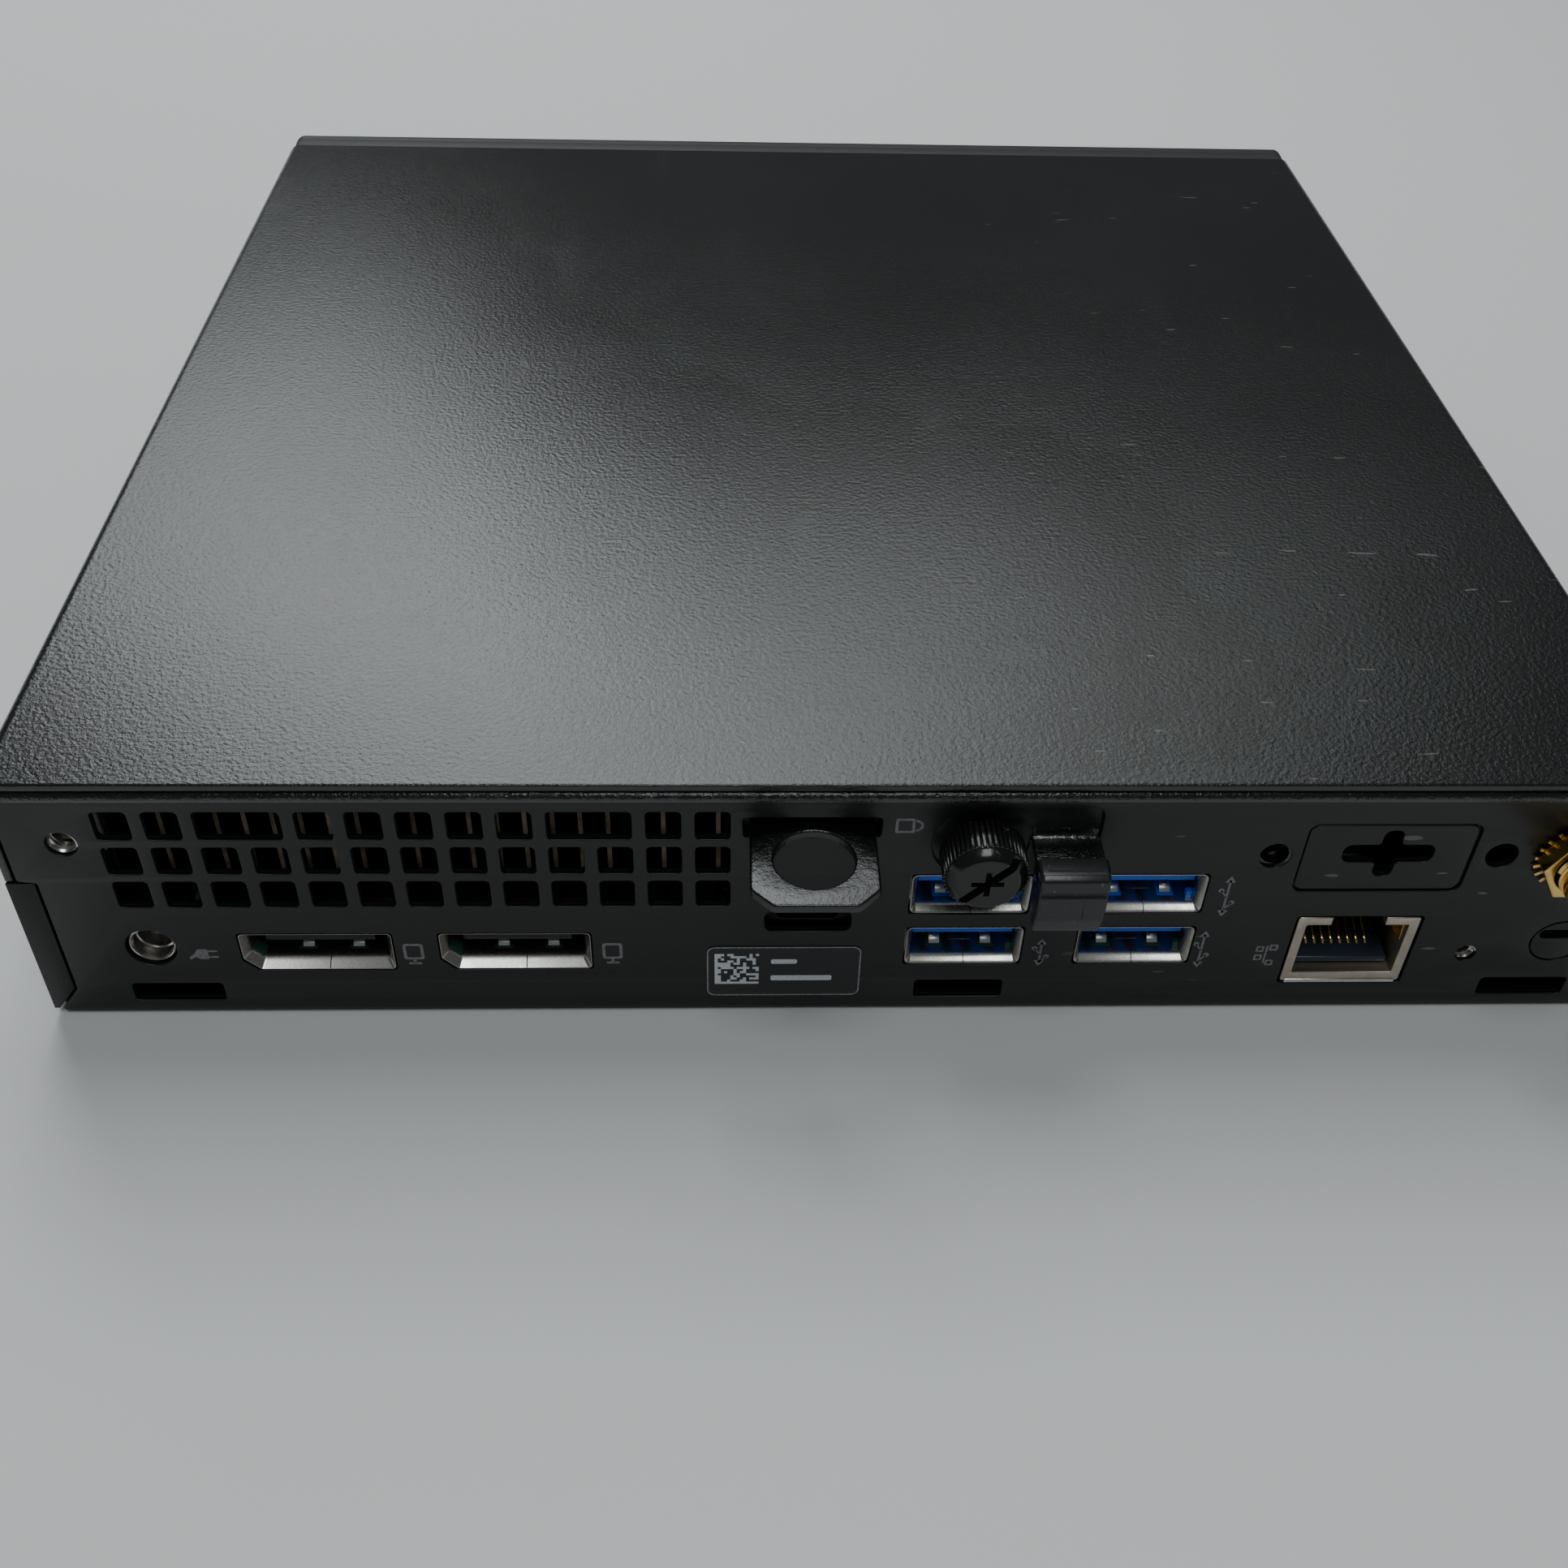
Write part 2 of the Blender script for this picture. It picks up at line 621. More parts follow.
def foot_slot_places():
    """X of the three slots along the panel's lower edge."""
    from_left, from_middle, from_right = FOOT_SLOTS
    return (left(from_left), from_middle, right(from_right))


def cross_outline():
    """A plus sign: the option plate's slot."""
    x = right(OPTION_RIGHT)
    z = above(OPTION_HEIGHT)
    (wide, low), (narrow, tall) = OPTION_SLOTS
    corners = [(wide, low), (narrow, low), (narrow, tall)]
    quarter = [(a / 2, b / 2) for a, b in corners]
    points = []
    for sign_x, sign_z, order in ((1, 1, 1), (-1, 1, -1), (-1, -1, 1), (1, -1, -1)):
        points += [(x + sign_x * a, z + sign_z * b) for a, b in quarter[::order]]
    return points


def rear_panel():
    """The connector panel: a punched plate with a rounded top lip, a knob recess and the bent-out arm."""
    half = WIDTH / 2
    step = COVER_EDGE - GAP
    low = half - RETURN_FLANGE - GAP
    high = half - INSET_WALL
    cut_x, cut_z = RETURN_CORNER
    outline = [
        (-low - cut_x, BOTTOM), (low + cut_x, BOTTOM), (low, BOTTOM + cut_z), (low, step),
        (high, step + GAP),
        (high, PANEL_TOP - PANEL_TOP_RADIUS), (-high, PANEL_TOP - PANEL_TOP_RADIUS), (-high, step + GAP),
        (-low, step), (-low, BOTTOM + cut_z),
    ]
    panel = prism("rear_panel", [outline] + panel_holes(), "Y", inside(SHEET), REAR, painted_steel())
    corner = (REAR - PANEL_TOP_RADIUS, PANEL_TOP - PANEL_TOP_RADIUS)
    lip = arc(corner, PANEL_TOP_RADIUS, 0, 90, 4) + [
        (inside(PANEL_LIP), PANEL_TOP), (inside(PANEL_LIP), PANEL_TOP - SHEET),
        (inside(SHEET), PANEL_TOP - SHEET),
        (inside(SHEET), PANEL_TOP - 2 * SHEET), (REAR, PANEL_TOP - 2 * SHEET),
    ]
    rail = prism("panel_lip", [lip], "X", -high + 2 * EASE, high - 2 * EASE)
    arm_top = above(ARM_TOP)
    arm = box("cable_arm", (ARM_OFFSET - ARM_WIDTH / 2, inside(SHEET / 2), arm_top - SHEET),
              (ARM_OFFSET + ARM_WIDTH / 2, REAR + ARM_REACH, arm_top))
    # A plate with this many holes needs the manifold solver: the exact one leaves its joints open.
    join(panel, rail, arm, solver="MANIFOLD")
    knob_recess = cylinder("knob_recess", RECESS_RADIUS, 2 * RECESS_DEPTH,
                           (SCREW_OFFSET, REAR, above(SCREW_HEIGHT)), "Y")
    low_z, high_z = RECESS_HEIGHTS
    middle = ((SCREW_OFFSET + RECESS_RIGHT) / 2, above((low_z + high_z) / 2))
    size = (SCREW_OFFSET - RECESS_RIGHT, high_z - low_z)
    strip = prism("strip_recess", [rounded_box_outline(middle, size, STRIP_RADIUS)], "Y",
                  inside(RECESS_DEPTH), REAR + SHEET)
    arm_gap = box("arm_window", (ARM_OFFSET - ARM_WIDTH / 2, inside(2 * SHEET), arm_top),
                  (ARM_OFFSET + ARM_WIDTH / 2, REAR + SHEET, above(high_z - RECESS_CORNER)))
    # The recess stops above the arm's root, so that the arm keeps its full thickness.
    keep = box("arm_root", (RECESS_RIGHT - SHEET, inside(SHEET), arm_top - 2 * SHEET),
               (ARM_OFFSET + ARM_WIDTH / 2 + EASE, REAR + 2 * SHEET, arm_top))
    cut(strip, keep)
    return cut(panel, knob_recess, strip, arm_gap, solver="MANIFOLD")


def top_cover():
    """The cover: a folded steel lid with two side flanges."""
    half = WIDTH / 2
    steps = 5
    outer = [(half, COVER_EDGE)]
    outer += arc((half - COVER_RADIUS, TOP - COVER_RADIUS), COVER_RADIUS, 0, 90, steps)
    outer += arc((COVER_RADIUS - half, TOP - COVER_RADIUS), COVER_RADIUS, 90, 180, steps)
    outer.append((-half, COVER_EDGE))
    inner_radius = COVER_RADIUS - SHEET
    inner = [(SHEET - half, COVER_EDGE)]
    inner += arc((COVER_RADIUS - half, TOP - COVER_RADIUS), inner_radius, 180, 90, steps)
    inner += arc((half - COVER_RADIUS, TOP - COVER_RADIUS), inner_radius, 90, 0, steps)
    inner.append((half - SHEET, COVER_EDGE))
    return prism("top_cover", [outer + inner], "Y", COVER_FRONT, REAR, painted_steel())


def cover_lock_bracket():
    """Welded under the cover's rear edge: padlock tongue, lock slot's inner plate and screw's nut plate."""
    plate_start = inside(SHEET + 2 * GAP)
    plate_end = plate_start - SHEET
    lock_half = LOCK_PLATE_HALF
    nut_room, low_room = NUT_PLATE_ROOM
    nut_edge = SCREW_OFFSET - nut_room
    lower = above(LOCK_SLOT_HEIGHT - low_room)
    nut_low = above(SCREW_HEIGHT - low_room)
    under_lid = COVER_UNDER - GAP
    plate = [
        (LOCK_OFFSET + lock_half, lower), (LOCK_OFFSET + lock_half, under_lid), (nut_edge, under_lid),
        (nut_edge, nut_low), (LOCK_OFFSET - lock_half, nut_low), (LOCK_OFFSET - lock_half, lower),
    ]
    inner_slot = rounded_box_outline((LOCK_OFFSET, above(LOCK_SLOT_HEIGHT)), LOCK_PLATE_SLOT, RECESS_CORNER)
    nut_hole = circle_outline((SCREW_OFFSET, above(SCREW_HEIGHT)), SCREW_RADIUS + SCREW_CLEARANCE)
    bracket = prism("cover_lock_bracket", [plate, inner_slot, nut_hole], "Y", plate_end, plate_start,
                    painted_steel())
    tip = REAR + TONGUE_REACH
    half = TONGUE_WIDTH / 2
    tongue = [
        (LOCK_OFFSET - half, plate_end + SHEET / 4), (LOCK_OFFSET + half, plate_end + SHEET / 4),
        (LOCK_OFFSET + half, tip - TONGUE_CORNER), (LOCK_OFFSET + half - TONGUE_CORNER, tip),
        (LOCK_OFFSET - half + TONGUE_CORNER, tip), (LOCK_OFFSET - half, tip - TONGUE_CORNER),
    ]
    hole = circle_outline((LOCK_OFFSET, REAR + TONGUE_HOLE_OUT), TONGUE_HOLE_RADIUS, 32)
    top = above(TONGUE_TOP)
    shelf = prism("tongue", [tongue, hole], "Z", top - TONGUE_SHEET, top)
    foot = box("bracket_foot", (nut_edge + 4 * EASE, plate_end - BRACKET_FOOT, under_lid - SHEET),
               (LOCK_OFFSET + lock_half - 4 * EASE, plate_start - SHEET / 2, under_lid - FACE_INSET))
    return join(bracket, shelf, foot)


def front_vent_height():
    return BOTTOM + (HEIGHT - BOTTOM - BEZEL_DROP) / 2


def front_ports():
    """(name, middle, size) of the openings that go through the front wall and the bezel."""
    height = above(FRONT_PORT_HEIGHT)
    button = 2 * (BUTTON_RADIUS + BUTTON_CLEARANCE)
    audio = 2 * (AUDIO_RADIUS + AUDIO_WALL + PORT_CLEARANCE)
    return (
        ("button", (left(BUTTON_LEFT), above(BUTTON_HEIGHT)), (button, button)),
        ("audio", (left(AUDIO_LEFT), height), (audio, audio)),
        ("usb_c", (left(USB_C_LEFT), height), widened(USB_C_SHELL, PORT_CLEARANCE)),
        ("usb_a", (left(USB_A_LEFT), height), widened(USB_SHELL, PORT_CLEARANCE)),
        ("light", (left(LIGHT_LEFT), above(BUTTON_HEIGHT)), (LIGHT_HOLE, LIGHT_HOLE)),
    )


def port_outline(name, middle, size):
    """A port's opening: a circle where it is as wide as high, or else a rounded box."""
    if size[0] == size[1]:
        return circle_outline(middle, size[0] / 2, 28)
    radius = SHELL_RADIUS if name == "usb_a" else min(size) / 2 - EASE
    return rounded_box_outline(middle, size, radius, 5)


def front_bezel():
    """The plastic front: a plate with a rim behind it, port openings and vent slots."""
    half = WIDTH / 2 - BEZEL_DROP
    bezel_top = TOP - BEZEL_DROP
    size = (2 * half, bezel_top - BOTTOM)
    middle = (0, (bezel_top + BOTTOM) / 2)
    outline = rounded_box_outline(middle, size, BEZEL_RADIUS, 4)
    holes = []
    for name, place_of, opening in front_ports():
        holes.append(port_outline(name, place_of, opening))
    for index in range(FRONT_VENT_COUNT):
        x = left(FRONT_VENT_FIRST + FRONT_VENT_PITCH * index)
        holes.append(rounded_box_outline((x, front_vent_height()), FRONT_VENT_SLOT, RECESS_CORNER, 2))
    bezel = prism("front_bezel", [outline] + holes, "Y", FRONT, FRONT + BEZEL_WALL, black_plastic())
    rim_hole = rounded_box_outline(middle, widened(size, -BEZEL_RIM), MM, 4)
    rim_edge = rounded_box_outline(middle, widened(size, -FACE_INSET), BEZEL_RADIUS, 4)
    rim = prism("bezel_rim", [rim_edge, rim_hole], "Y", FRONT + BEZEL_WALL / 2, COVER_FRONT - GAP)
    return join(bezel, rim, solver="MANIFOLD")


def power_button():
    """The button's cap with the retaining flange behind the bezel."""
    x = left(BUTTON_LEFT)
    z = above(BUTTON_HEIGHT)
    face = FRONT + 2 * EASE
    stem_end = COVER_FRONT - 2 * GAP
    cap = cylinder("power_button", BUTTON_RADIUS, stem_end - face, (x, (face + stem_end) / 2, z), "Y",
                   black_plastic(), 40)
    flange_start = FRONT + BEZEL_WALL + GAP
    overhang, thickness = BUTTON_FLANGE
    flange = cylinder("button_flange", BUTTON_RADIUS + overhang, thickness,
                      (x, flange_start + thickness / 2, z),
                      "Y", sides=40)
    plunger_end = PAN_FRONT + SHEET + PLUNGER_REACH
    plunger = cylinder("button_plunger", PLUNGER_RADIUS, plunger_end - stem_end + SHEET,
                       (x, (plunger_end + stem_end - SHEET) / 2, z), "Y", sides=20)
    return join(cap, flange, plunger)


def power_switch():
    """The push switch behind the button, on its own riser from the board."""
    x = left(BUTTON_LEFT)
    z = above(BUTTON_HEIGHT)
    start = PAN_FRONT + SHEET + PLUNGER_REACH + BUTTON_TRAVEL + GAP
    wide, deep = SWITCH_SIZE
    return box("power_switch", (x - wide / 2, start, ON_BOARD), (x + wide / 2, start + deep, z + wide / 2),
               black_plastic())


def activity_light_pipe():
    """A clear rod that brings the drive light to the bezel."""
    start = FRONT + 2 * EASE
    end = PAN_FRONT + SHEET + 3 * MM
    finish = material("clear_plastic", (0.8, 0.85, 0.9), 0.15)
    return cylinder("activity_light_pipe", MM, end - start,
                    (left(LIGHT_LEFT), (start + end) / 2, above(BUTTON_HEIGHT)), "Y", finish, 16)


def cable_hook():
    """The plastic hook that is pushed over the panel's arm."""
    arm_top = above(ARM_TOP)
    top = arm_top + HOOK_WALL
    tip = REAR + HOOK_REACH
    arm_tip = REAR + ARM_REACH + HOOK_CLEARANCE
    arm_under = arm_top - SHEET - HOOK_CLEARANCE
    outline = [
        (REAR + 3.6 * MM, arm_top + HOOK_CLEARANCE), (arm_tip, arm_top + HOOK_CLEARANCE),
        (arm_tip, arm_under), (REAR + 2.4 * MM, arm_under),
        (REAR + 2.4 * MM, arm_top - 3.6 * MM), (REAR + 3.2 * MM, arm_top - 5.4 * MM),
        (tip - 1.3 * MM, arm_top - HOOK_DROP), (tip, arm_top - HOOK_DROP), (tip, top - 0.9 * MM),
        (tip - 0.3 * MM, top - 0.25 * MM), (tip - 0.9 * MM, top), (REAR + 3.6 * MM, top),
    ]
    half = ARM_WIDTH / 2
    return prism("cable_hook", [outline], "X", ARM_OFFSET - half, ARM_OFFSET + half, black_plastic())


def thumbscrew_washer():
    """The thin washer that backs out with the screw but doesn't turn."""
    z = above(SCREW_HEIGHT)
    radius, thickness = WASHER
    centre = (SCREW_OFFSET, z)
    ring = [circle_outline(centre, radius), circle_outline(centre, SCREW_RADIUS + GAP / 2)]
    start = REAR + GAP
    return prism("thumbscrew_washer", ring, "Y", start, start + thickness, bare_steel())


def thumbscrew():
    """A knob with a chamfered face on a shank: its origin is on its axis, at the panel's outer face."""
    z = above(SCREW_HEIGHT)
    base = 2 * GAP + WASHER[1]
    shoulder = KNOB_REACH - KNOB_CHAMFER
    slot_width, slot_depth = DRIVER_SLOT
    profile = [
        (0, -SCREW_TIP), (SCREW_RADIUS - EDGE_CHAMFER, -SCREW_TIP),
        (SCREW_RADIUS, -SCREW_TIP + EDGE_CHAMFER),
        (SCREW_RADIUS, base), (KNOB_RADIUS - EDGE_CHAMFER, base), (KNOB_RADIUS, base + EDGE_CHAMFER),
        (KNOB_RADIUS, shoulder), (KNOB_FACE_RADIUS, KNOB_REACH), (0, KNOB_REACH),
    ]
    mesh = bpy.data.meshes.new("thumbscrew")
    shape = bmesh.new()
    points = [shape.verts.new((radius, 0, height)) for radius, height in reversed(profile)]
    for first, second in zip(points, points[1:]):
        shape.edges.new((first, second))
    shape.to_mesh(mesh)
    shape.free()
    stand = Matrix.Translation((SCREW_OFFSET, REAR, z)) @ turned_to("Y")
    screw = place("thumbscrew", mesh, black_plastic(), stand)
    turn = screw.modifiers.new("turned", "SCREW")
    turn.steps = 40
    turn.render_steps = 40
    turn.use_merge_vertices = True
    turn.merge_threshold = 0.00001
    slot = box("driver_slot", (-KNOB_RADIUS, -slot_width / 2, KNOB_REACH - slot_depth),
               (KNOB_RADIUS, slot_width / 2, KNOB_REACH + slot_depth))
    slot.matrix_world = stand @ Matrix.Rotation(math.radians(45), 4, "Z") @ slot.matrix_world
    return cut(screw, slot)


def feet():
    """Four round rubber feet on the pan's underside."""
    for end, y in (("rear", REAR - FOOT_INSET), ("front", FRONT + BEZEL_DEPTH + FOOT_INSET)):
        for side, x in (("left", left(FOOT_INSET)), ("right", right(FOOT_INSET))):
            height = FOOT_HEIGHT - FACE_INSET
            cone(f"foot_{end}_{side}", (FOOT_RADIUS - EDGE_CHAMFER, FOOT_RADIUS), height,
                 (x, y, height / 2), "Z", foot_rubber(), 28)


def id_label():
    outline = rounded_box_outline((LABEL_OFFSET, above(LABEL_HEIGHT)), LABEL_SIZE, MM)
    back = REAR + LABEL_GAP
    return prism("id_label", [outline], "Y", back, back + LABEL_THICKNESS, label_film())


# ---- Connectors on the panel ----

def usb_stack(side, x):
    """Two data ports in one shell, with a plastic insert in each."""
    low = min(USB_HEIGHTS)
    high = max(USB_HEIGHTS)
    body_low = above(low) - USB_SHELL[1] / 2 - 2 * GAP
    body_high = above(high) + USB_SHELL[1] / 2 + GAP
    half = USB_SHELL[0] / 2
    body = box(f"usb_stack_{side}", (x - half - GAP, inside(USB_DEPTH), body_low),
               (x + half + GAP, inside(SHEET + GAP), body_high), bare_steel())
    collars = []
    cavities = []
    for level, height in (("lower", low), ("upper", high)):
        middle = (x, above(height))
        collar = rounded_box_outline(middle, USB_SHELL, SHELL_RADIUS, 2)
        collars.append(prism(f"usb_collar_{side}_{level}", [collar], "Y", inside(SHEET + 2 * GAP),
                             inside(FACE_INSET)))
        hollow = rounded_box_outline(middle, widened(USB_SHELL, -SHELL_WALL), HOLLOW_RADIUS, 2)
        cavities.append(prism(f"usb_hollow_{side}_{level}", [hollow], "Y", inside(USB_DEPTH - SHEET),
                              REAR + SHEET))
        usb_insert(f"usb_insert_{side}_{level}", x, above(height), inside(2 * GAP), -1,
                   USB_DEPTH - 2 * SHEET)
    return cut(join(body, *collars), *cavities)


def usb_insert(name, x, z, mouth, direction, depth):
    """A connector's plastic tongue, high in the port, on a block at the back of it."""
    half = USB_SHELL[0] / 2 - SHELL_WALL - 0.45 * MM
    room = USB_SHELL[1] / 2 - SHELL_WALL - GAP
    back = mouth + direction * (depth - 2 * GAP)
    root = back - direction * 3 * MM
    top = z + room - EASE
    under = top - 1.9 * MM
    outline = [(mouth, under), (mouth, top), (back, top), (back, z - room), (root, z - room), (root, under)]
    return prism(name, [outline], "X", x - half, x + half, blue_plastic())


def display_connector(side, distance):
    """A digital display port: a keyed steel shell around a flat insert."""
    depth = 13 * MM
    middle = (left(distance), above(DISPLAY_HEIGHT))
    keyed = display_outline(middle, DISPLAY_SIZE, DISPLAY_CHAMFER)
    shell = prism(f"display_connector_{side}", [keyed], "Y", inside(depth), inside(FACE_INSET),
                  bare_steel())
    room = display_outline(middle, widened(DISPLAY_SIZE, -SHELL_WALL), DISPLAY_CHAMFER - SHELL_WALL / 2)
    hollow = prism(f"display_hollow_{side}", [room], "Y", inside(depth - SHEET), REAR + SHEET)
    back = inside(depth - SHEET - GAP)
    block = back + 2.5 * MM
    x, z = middle
    front = inside(2 * MM)
    shelf_low = z - EASE
    shelf_high = z + 1.1 * MM
    outline = [
        (back, z - 1.5 * MM), (block, z - 1.5 * MM), (block, shelf_low), (front, shelf_low),
        (front, shelf_high), (block, shelf_high), (block, z + 1.9 * MM), (back, z + 1.9 * MM),
    ]
    half = DISPLAY_SIZE[0] / 2 - 2.2 * MM
    prism(f"display_insert_{side}", [outline], "X", x - half, x + half, black_plastic())
    return cut(shell, hollow)


def network_connector():
    """The network port: a shielded shell around a plastic insert with a contact shelf."""
    x = right(NET_RIGHT)
    z = above(NET_HEIGHT)
    half_x = NET_SHELL[0] / 2
    half_z = NET_SHELL[1] / 2
    shell = box("network_connector", (x - half_x, inside(NET_DEPTH), z - half_z),
                (x + half_x, inside(FACE_INSET), z + half_z), bare_steel())
    room_half = 5.9 * MM
    room_low = z - 3.9 * MM
    latch_half = 3 * MM
    hollow = box("network_hollow", (x - room_half, inside(NET_DEPTH - SHEET), room_low),
                 (x + room_half, REAR + SHEET, z + 4.0 * MM))
    latch = box("network_latch_notch", (x - latch_half, inside(NET_DEPTH - 4 * MM), z),
                (x + latch_half, REAR + SHEET, z + 2 * latch_half))
    floor = room_low + GAP
    back = inside(NET_DEPTH - SHEET - GAP)
    front = inside(1.5 * MM)
    root_top = floor + 4.6 * MM
    outline = [
        (back, floor), (front, floor), (front, floor + 0.8 * MM), (back + 6 * MM, floor + 1.2 * MM),
        (back + 2 * MM, root_top), (back, root_top),
    ]
    prism("network_insert", [outline], "X", x - 5.5 * MM, x + 5.5 * MM, black_plastic())
    return cut(shell, hollow, latch)


def power_inlet():
    """The direct-current jack: a block with a barrel bore and a centre pin."""
    x = left(JACK_LEFT)
    z = above(JACK_HEIGHT)
    half = JACK_BLOCK / 2
    front = inside(SHEET + GAP)
    back = inside(JACK_DEPTH)
    body = box("power_inlet", (x - half, back, ON_BOARD), (x + half, front, z + half), black_plastic())
    ring = [circle_outline((x, z), JACK_RADIUS - 0.25 * MM), circle_outline((x, z), 0.8 * MM, 12)]
    bore = prism("jack_bore", ring, "Y", back + 3 * MM, front + SHEET)
    mouth = cylinder("jack_mouth", JACK_RADIUS - 0.3 * MM, 2 * MM, (x, front, z), "Y")
    return cut(body, bore, mouth)


def antenna_connector():
    """The gold threaded aerial socket, its nut and the shank behind the panel."""
    x = right(ANTENNA_RIGHT)
    z = above(ANTENNA_HEIGHT)
    tip = REAR + ANTENNA_REACH
    back = inside(ANTENNA_INSIDE)
    body = cylinder("antenna_connector", ANTENNA_RADIUS, tip - back, (x, (tip + back) / 2, z), "Y",
                    gold_plate(), 28)
    overhang, thickness = ANTENNA_COLLAR
    collar = cylinder("antenna_collar", ANTENNA_RADIUS + overhang, thickness,
                      (x, inside(SHEET + GAP + thickness / 2), z), "Y", sides=6)
    bore_radius, pin_radius = ANTENNA_BORE
    bore = prism("antenna_bore",
                 [circle_outline((x, z), bore_radius, 20), circle_outline((x, z), pin_radius, 8)],
                 "Y", tip - 4 * MM, tip + MM)
    nut_radius, nut_length = ANTENNA_NUT
    nut_start = REAR + GAP
    hexagon = circle_outline((x, z), nut_radius, 6)
    hole = circle_outline((x, z), ANTENNA_RADIUS + 0.12 * MM, 28)
    prism("antenna_nut", [hexagon, hole], "Y", nut_start, nut_start + nut_length, gold_plate())
    return cut(join(body, collar), bore)


# ---- Inside ----

def system_board():
    """The main board, with a notch under the network port, one for the speaker and four screw holes."""
    x_low = right(BOARD_MARGIN)
    x_high = left(BOARD_MARGIN)
    y_low = FRONT + BOARD_FRONT
    y_high = inside(2.5 * MM)
    net_x = right(NET_RIGHT)
    net_low = net_x - NET_SHELL[0] / 2 - 2 * GAP
    net_high = net_x + NET_SHELL[0] / 2 + 2 * GAP
    net_end = inside(NET_DEPTH + 2 * GAP)
    speaker_x = x_low + SPEAKER_NOTCH[0]
    speaker_y = y_low + SPEAKER_NOTCH[1]
    outline = [
        (speaker_x, y_low), (x_high, y_low), (x_high, y_high), (net_high, y_high), (net_high, net_end),
        (net_low, net_end), (net_low, y_high), (x_low, y_high), (x_low, speaker_y), (speaker_x, speaker_y),
    ]
    radius = BOARD_SCREW_RADIUS + 0.4 * MM
    holes = [circle_outline(place_of, radius, 16) for place_of in board_screw_places()]
    return prism("system_board", [outline] + holes, "Z", BOARD_UNDER, BOARD_TOP, circuit_board())


def board_screws():
    head_radius, head_height = BOARD_SCREW_HEAD
    for index, (x, y) in enumerate(board_screw_places()):
        head = cylinder(f"board_screw_{index + 1}", head_radius, head_height,
                        (x, y, ON_BOARD + head_height / 2), "Z", bare_steel(), 20)
        shank_low = FLOOR + 0.8 * STANDOFF
        shank = cylinder(f"board_screw_shank_{index + 1}", BOARD_SCREW_RADIUS, ON_BOARD + MM - shank_low,
                         (x, y, (ON_BOARD + MM + shank_low) / 2), "Z", sides=14)
        join(head, shank)


def blower_middle():
    return (left(11 * MM + BLOWER_SIZE[0] / 2), inside(BLOWER_REAR + BLOWER_SIZE[1] / 2))


def cooling():
    """Processor, cold plate, heat pipe, fin stack behind the vent, blower housing and its rotor."""
    x, y = blower_middle()
    chip_top = ON_BOARD + CHIP_HEIGHT
    box("processor", (x - CHIP_HALF, y - CHIP_HALF, ON_BOARD), (x + CHIP_HALF, y + CHIP_HALF, chip_top),
        bare_steel())
    wide, long, thick = COLD_PLATE
    plate_low = chip_top + GAP
    plate_high = plate_low + thick
    box("cold_plate", (x - wide / 2, y - long / 2, plate_low), (x + wide / 2, y + long / 2, plate_high),
        copper())
    pipe_x = x + 4 * MM
    pipe_y = inside(18.5 * MM)
    pipe_z = plate_high + GAP + PIPE_RADIUS
    turn_start = pipe_y - PIPE_BEND
    route = [(pipe_x, y - 18 * MM, pipe_z), (pipe_x, turn_start, pipe_z)]
    for a, b in arc((pipe_x + PIPE_BEND, turn_start), PIPE_BEND, 180, 90, 8)[1:]:
        route.append((a, b, pipe_z))
    route.append((left(12 * MM), pipe_y, pipe_z))
    tube("heat_pipe", route, PIPE_RADIUS, copper())
    housing_low = pipe_z + PIPE_RADIUS + GAP
    housing_high = COVER_UNDER - COVER_ROOM
    fin_stack(housing_low)
    blower(x, y, housing_low, housing_high)


def fin_stack(base_low):
    """A comb of thin fins on a base plate, right behind the vent."""
    x_low, x_high = [left(distance) for distance in FIN_STACK_LEFT]
    y_low, y_high = [inside(distance) for distance in FIN_STACK_INSIDE]
    base_top = base_low + FIN_BASE
    fin_top = COVER_UNDER - COVER_ROOM
    outline = [(x_low, base_low), (x_high, base_low)]
    pitch = (x_high - x_low - FIN_THICKNESS) / (FIN_COUNT - 1)
    for index in range(FIN_COUNT):
        outer = x_high - index * pitch
        outline += [(outer, base_top), (outer, fin_top), (outer - FIN_THICKNESS, fin_top)]
        outline.append((outer - FIN_THICKNESS, base_top))
    outline = [outline[0], outline[1]] + outline[3:-1]
    fins = prism("fin_stack", [outline], "Y", y_low, y_high, aluminium())
    jack_side = left(JACK_LEFT + JACK_BLOCK / 2 + 2 * GAP)
    jack_room = box("jack_room", (jack_side, inside(JACK_DEPTH + 2 * GAP), base_low - MM),
                    (x_high + MM, REAR, above(JACK_HEIGHT) + JACK_BLOCK / 2 + 2 * GAP))
    return cut(fins, jack_room)


